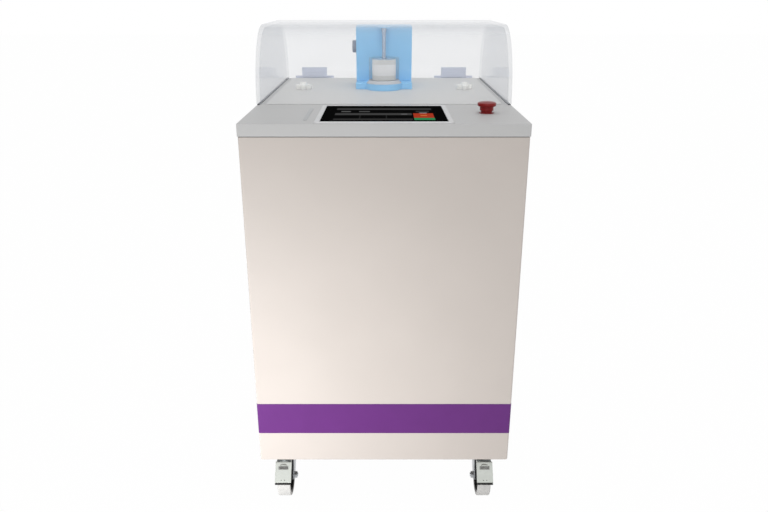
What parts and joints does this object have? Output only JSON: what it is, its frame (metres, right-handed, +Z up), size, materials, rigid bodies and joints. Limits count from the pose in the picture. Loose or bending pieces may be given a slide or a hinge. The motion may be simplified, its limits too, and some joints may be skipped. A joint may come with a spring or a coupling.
{
  "type": "electroporator",
  "caption": "Floor-standing electroporator: sheet-steel cabinet on swivel casters, touch screen and stop button on the deck, hinged clear hood over a treatment chamber.",
  "frame": {"origin": "middle of the outline at floor level, under the wheels", "axes": "+Z up, -Y towards the user at the front panel, +X to the right seen from the front"},
  "size_m": [0.6, 0.84, 1.1155],
  "materials": {
    "frame_steel": "satin",
    "panel_paint": "satin",
    "band_film": "gloss",
    "cover_paint": "satin",
    "deck_paint": "satin",
    "bezel_plastic": "satin",
    "screen_glass": "gloss",
    "light_lens": "satin",
    "black_plastic": "satin",
    "seal_rubber": "matte",
    "hinge_plastic": "satin",
    "station_blue": "satin",
    "collar_plastic": "gloss",
    "sleeve_acrylic": "gloss",
    "polished_steel": "polished",
    "ring_ptfe": "satin",
    "capacitor_can": "satin",
    "core_steel": "matte",
    "winding_copper": "satin",
    "sheet_aluminium": "brushed",
    "board_laminate": "satin",
    "zinc_steel": "satin",
    "clear_acrylic": "gloss",
    "red_plastic": "gloss",
    "knob_plastic": "satin",
    "white_plastic": "satin",
    "wheel_core": "satin",
    "grey_tread": "matte"
  },
  "bodies": {
    "cabinet": {"welded_frame": "frame_steel", "bottom_pan": "panel_paint", "front_panel": "panel_paint", "accent_band": "band_film", "side_panels": "panel_paint", "rear_panel": "panel_paint", "top_cover": "cover_paint", "deck_plate": "deck_paint", "hmi_housing": "bezel_plastic", "hmi_glass": "screen_glass", "status_bar": "light_lens", "estop_body": "black_plastic", "hood_seal": "seal_rubber", "hinge_base_leaves": "hinge_plastic", "station_base": "station_blue", "station_column": "station_blue", "chamber_collar": "collar_plastic", "chamber_sleeve": "sleeve_acrylic", "lower_electrode": "polished_steel", "chamber_ring": "ring_ptfe", "upper_electrode": "polished_steel", "capacitor_bank": "capacitor_can", "transformer_core": "core_steel", "transformer_windings": "winding_copper", "charging_supply": "sheet_aluminium", "switch_stack": "sheet_aluminium", "control_board": "board_laminate", "interlock_switch": "black_plastic", "mains_inlet": "black_plastic", "fan_frame": "black_plastic", "cabinet_fasteners": "zinc_steel", "caster_plates": "zinc_steel"},
    "hood": {"hood_cover": "clear_acrylic", "hood_cheeks": "clear_acrylic", "hinge_hood_leaves": "hinge_plastic"},
    "stop_plunger": {"estop_plunger": "red_plastic"},
    "stop_head": {"estop_head": "red_plastic"},
    "electrode_lift": {"electrode_rod": "polished_steel", "head_plate": "station_blue", "lift_carriage": "polished_steel"},
    "lift_drive": {"lift_knob": "knob_plastic", "lift_shaft": "polished_steel"},
    "left_clamp": {"left_clamp_knob": "white_plastic"},
    "right_clamp": {"right_clamp_knob": "white_plastic"},
    "fan": {"fan_rotor": "black_plastic"},
    "rocker": {"mains_rocker": "black_plastic"},
    "front_left_swivel": {"front_left_fork": "zinc_steel"},
    "front_left_wheel": {"front_left_hub": "wheel_core", "front_left_tyre": "grey_tread"},
    "front_right_swivel": {"front_right_fork": "zinc_steel"},
    "front_right_wheel": {"front_right_hub": "wheel_core", "front_right_tyre": "grey_tread"},
    "rear_left_swivel": {"rear_left_fork": "zinc_steel"},
    "rear_left_wheel": {"rear_left_hub": "wheel_core", "rear_left_tyre": "grey_tread"},
    "rear_right_swivel": {"rear_right_fork": "zinc_steel"},
    "rear_right_wheel": {"rear_right_hub": "wheel_core", "rear_right_tyre": "grey_tread"},
    "front_left_brake": {"front_left_pedal": "zinc_steel"},
    "front_right_brake": {"front_right_pedal": "zinc_steel"}
  },
  "joints": [
    {"name": "hood_hinge", "type": "hinge", "parent": "cabinet", "child": "hood", "pos_m": [0, 0.41501, 0.942], "axis": [-1, 0, 0], "range_deg": [0, 100]},
    {"name": "stop_press", "type": "slide", "parent": "cabinet", "child": "stop_plunger", "axis": [0, 0, -1], "range_m": [0, 0.004], "stiffness_N_per_m": 1500, "springref_m": -0.002},
    {"name": "stop_twist", "type": "hinge", "parent": "stop_plunger", "child": "stop_head", "pos_m": [0.226, -0.26399, 0.965], "axis": [0, 0, -1], "range_deg": [0, 45], "stiffness_Nm_per_rad": 0.05},
    {"name": "lift_turn", "type": "hinge", "parent": "cabinet", "child": "lift_drive", "pos_m": [0, 0.22751, 1.047], "axis": [1, 0, 0], "range_deg": [0, 90]},
    {"name": "electrode_slide", "type": "slide", "parent": "cabinet", "child": "electrode_lift", "axis": [0, 0, 1], "range_m": [0, 0.005]},
    {"name": "left_clamp_turn", "type": "hinge", "parent": "cabinet", "child": "left_clamp", "pos_m": [-0.218, 0.12851, 0.942], "axis": [0, 0, 1], "range_deg": [0, 90]},
    {"name": "right_clamp_turn", "type": "hinge", "parent": "cabinet", "child": "right_clamp", "pos_m": [0.218, 0.12851, 0.942], "axis": [0, 0, 1], "range_deg": [0, 90]},
    {"name": "fan_spin", "type": "hinge", "parent": "cabinet", "child": "fan", "pos_m": [0.15, 0.40701, 0.768], "axis": [0, 1, 0], "continuous": true},
    {"name": "mains_rock", "type": "hinge", "parent": "cabinet", "child": "rocker", "pos_m": [0.17, 0.40151, 0.254], "axis": [-1, 0, 0], "range_deg": [0, 12]},
    {"name": "front_left_swivel_turn", "type": "hinge", "parent": "cabinet", "child": "front_left_swivel", "pos_m": [-0.246, -0.317, 0.1], "axis": [0, 0, 1], "continuous": true},
    {"name": "front_left_roll", "type": "hinge", "parent": "front_left_swivel", "child": "front_left_wheel", "pos_m": [-0.246, -0.355, 0.05], "axis": [1, 0, 0], "continuous": true},
    {"name": "front_left_brake_press", "type": "hinge", "parent": "front_left_swivel", "child": "front_left_brake", "pos_m": [-0.246, -0.34099, 0.104], "axis": [1, 0, 0], "range_deg": [0, 5]},
    {"name": "front_right_swivel_turn", "type": "hinge", "parent": "cabinet", "child": "front_right_swivel", "pos_m": [0.246, -0.317, 0.1], "axis": [0, 0, 1], "continuous": true},
    {"name": "front_right_roll", "type": "hinge", "parent": "front_right_swivel", "child": "front_right_wheel", "pos_m": [0.246, -0.355, 0.05], "axis": [1, 0, 0], "continuous": true},
    {"name": "front_right_brake_press", "type": "hinge", "parent": "front_right_swivel", "child": "front_right_brake", "pos_m": [0.246, -0.34099, 0.104], "axis": [1, 0, 0], "range_deg": [0, 5]},
    {"name": "rear_left_swivel_turn", "type": "hinge", "parent": "cabinet", "child": "rear_left_swivel", "pos_m": [-0.246, 0.319, 0.1], "axis": [0, 0, 1], "continuous": true},
    {"name": "rear_left_roll", "type": "hinge", "parent": "rear_left_swivel", "child": "rear_left_wheel", "pos_m": [-0.246, 0.28101, 0.05], "axis": [1, 0, 0], "continuous": true},
    {"name": "rear_right_swivel_turn", "type": "hinge", "parent": "cabinet", "child": "rear_right_swivel", "pos_m": [0.246, 0.319, 0.1], "axis": [0, 0, 1], "continuous": true},
    {"name": "rear_right_roll", "type": "hinge", "parent": "rear_right_swivel", "child": "rear_right_wheel", "pos_m": [0.246, 0.28101, 0.05], "axis": [1, 0, 0], "continuous": true}
  ],
  "couplings": [
    {"joint": "lift_turn", "follows": "electrode_slide", "rad_per_m": 314}
  ]
}
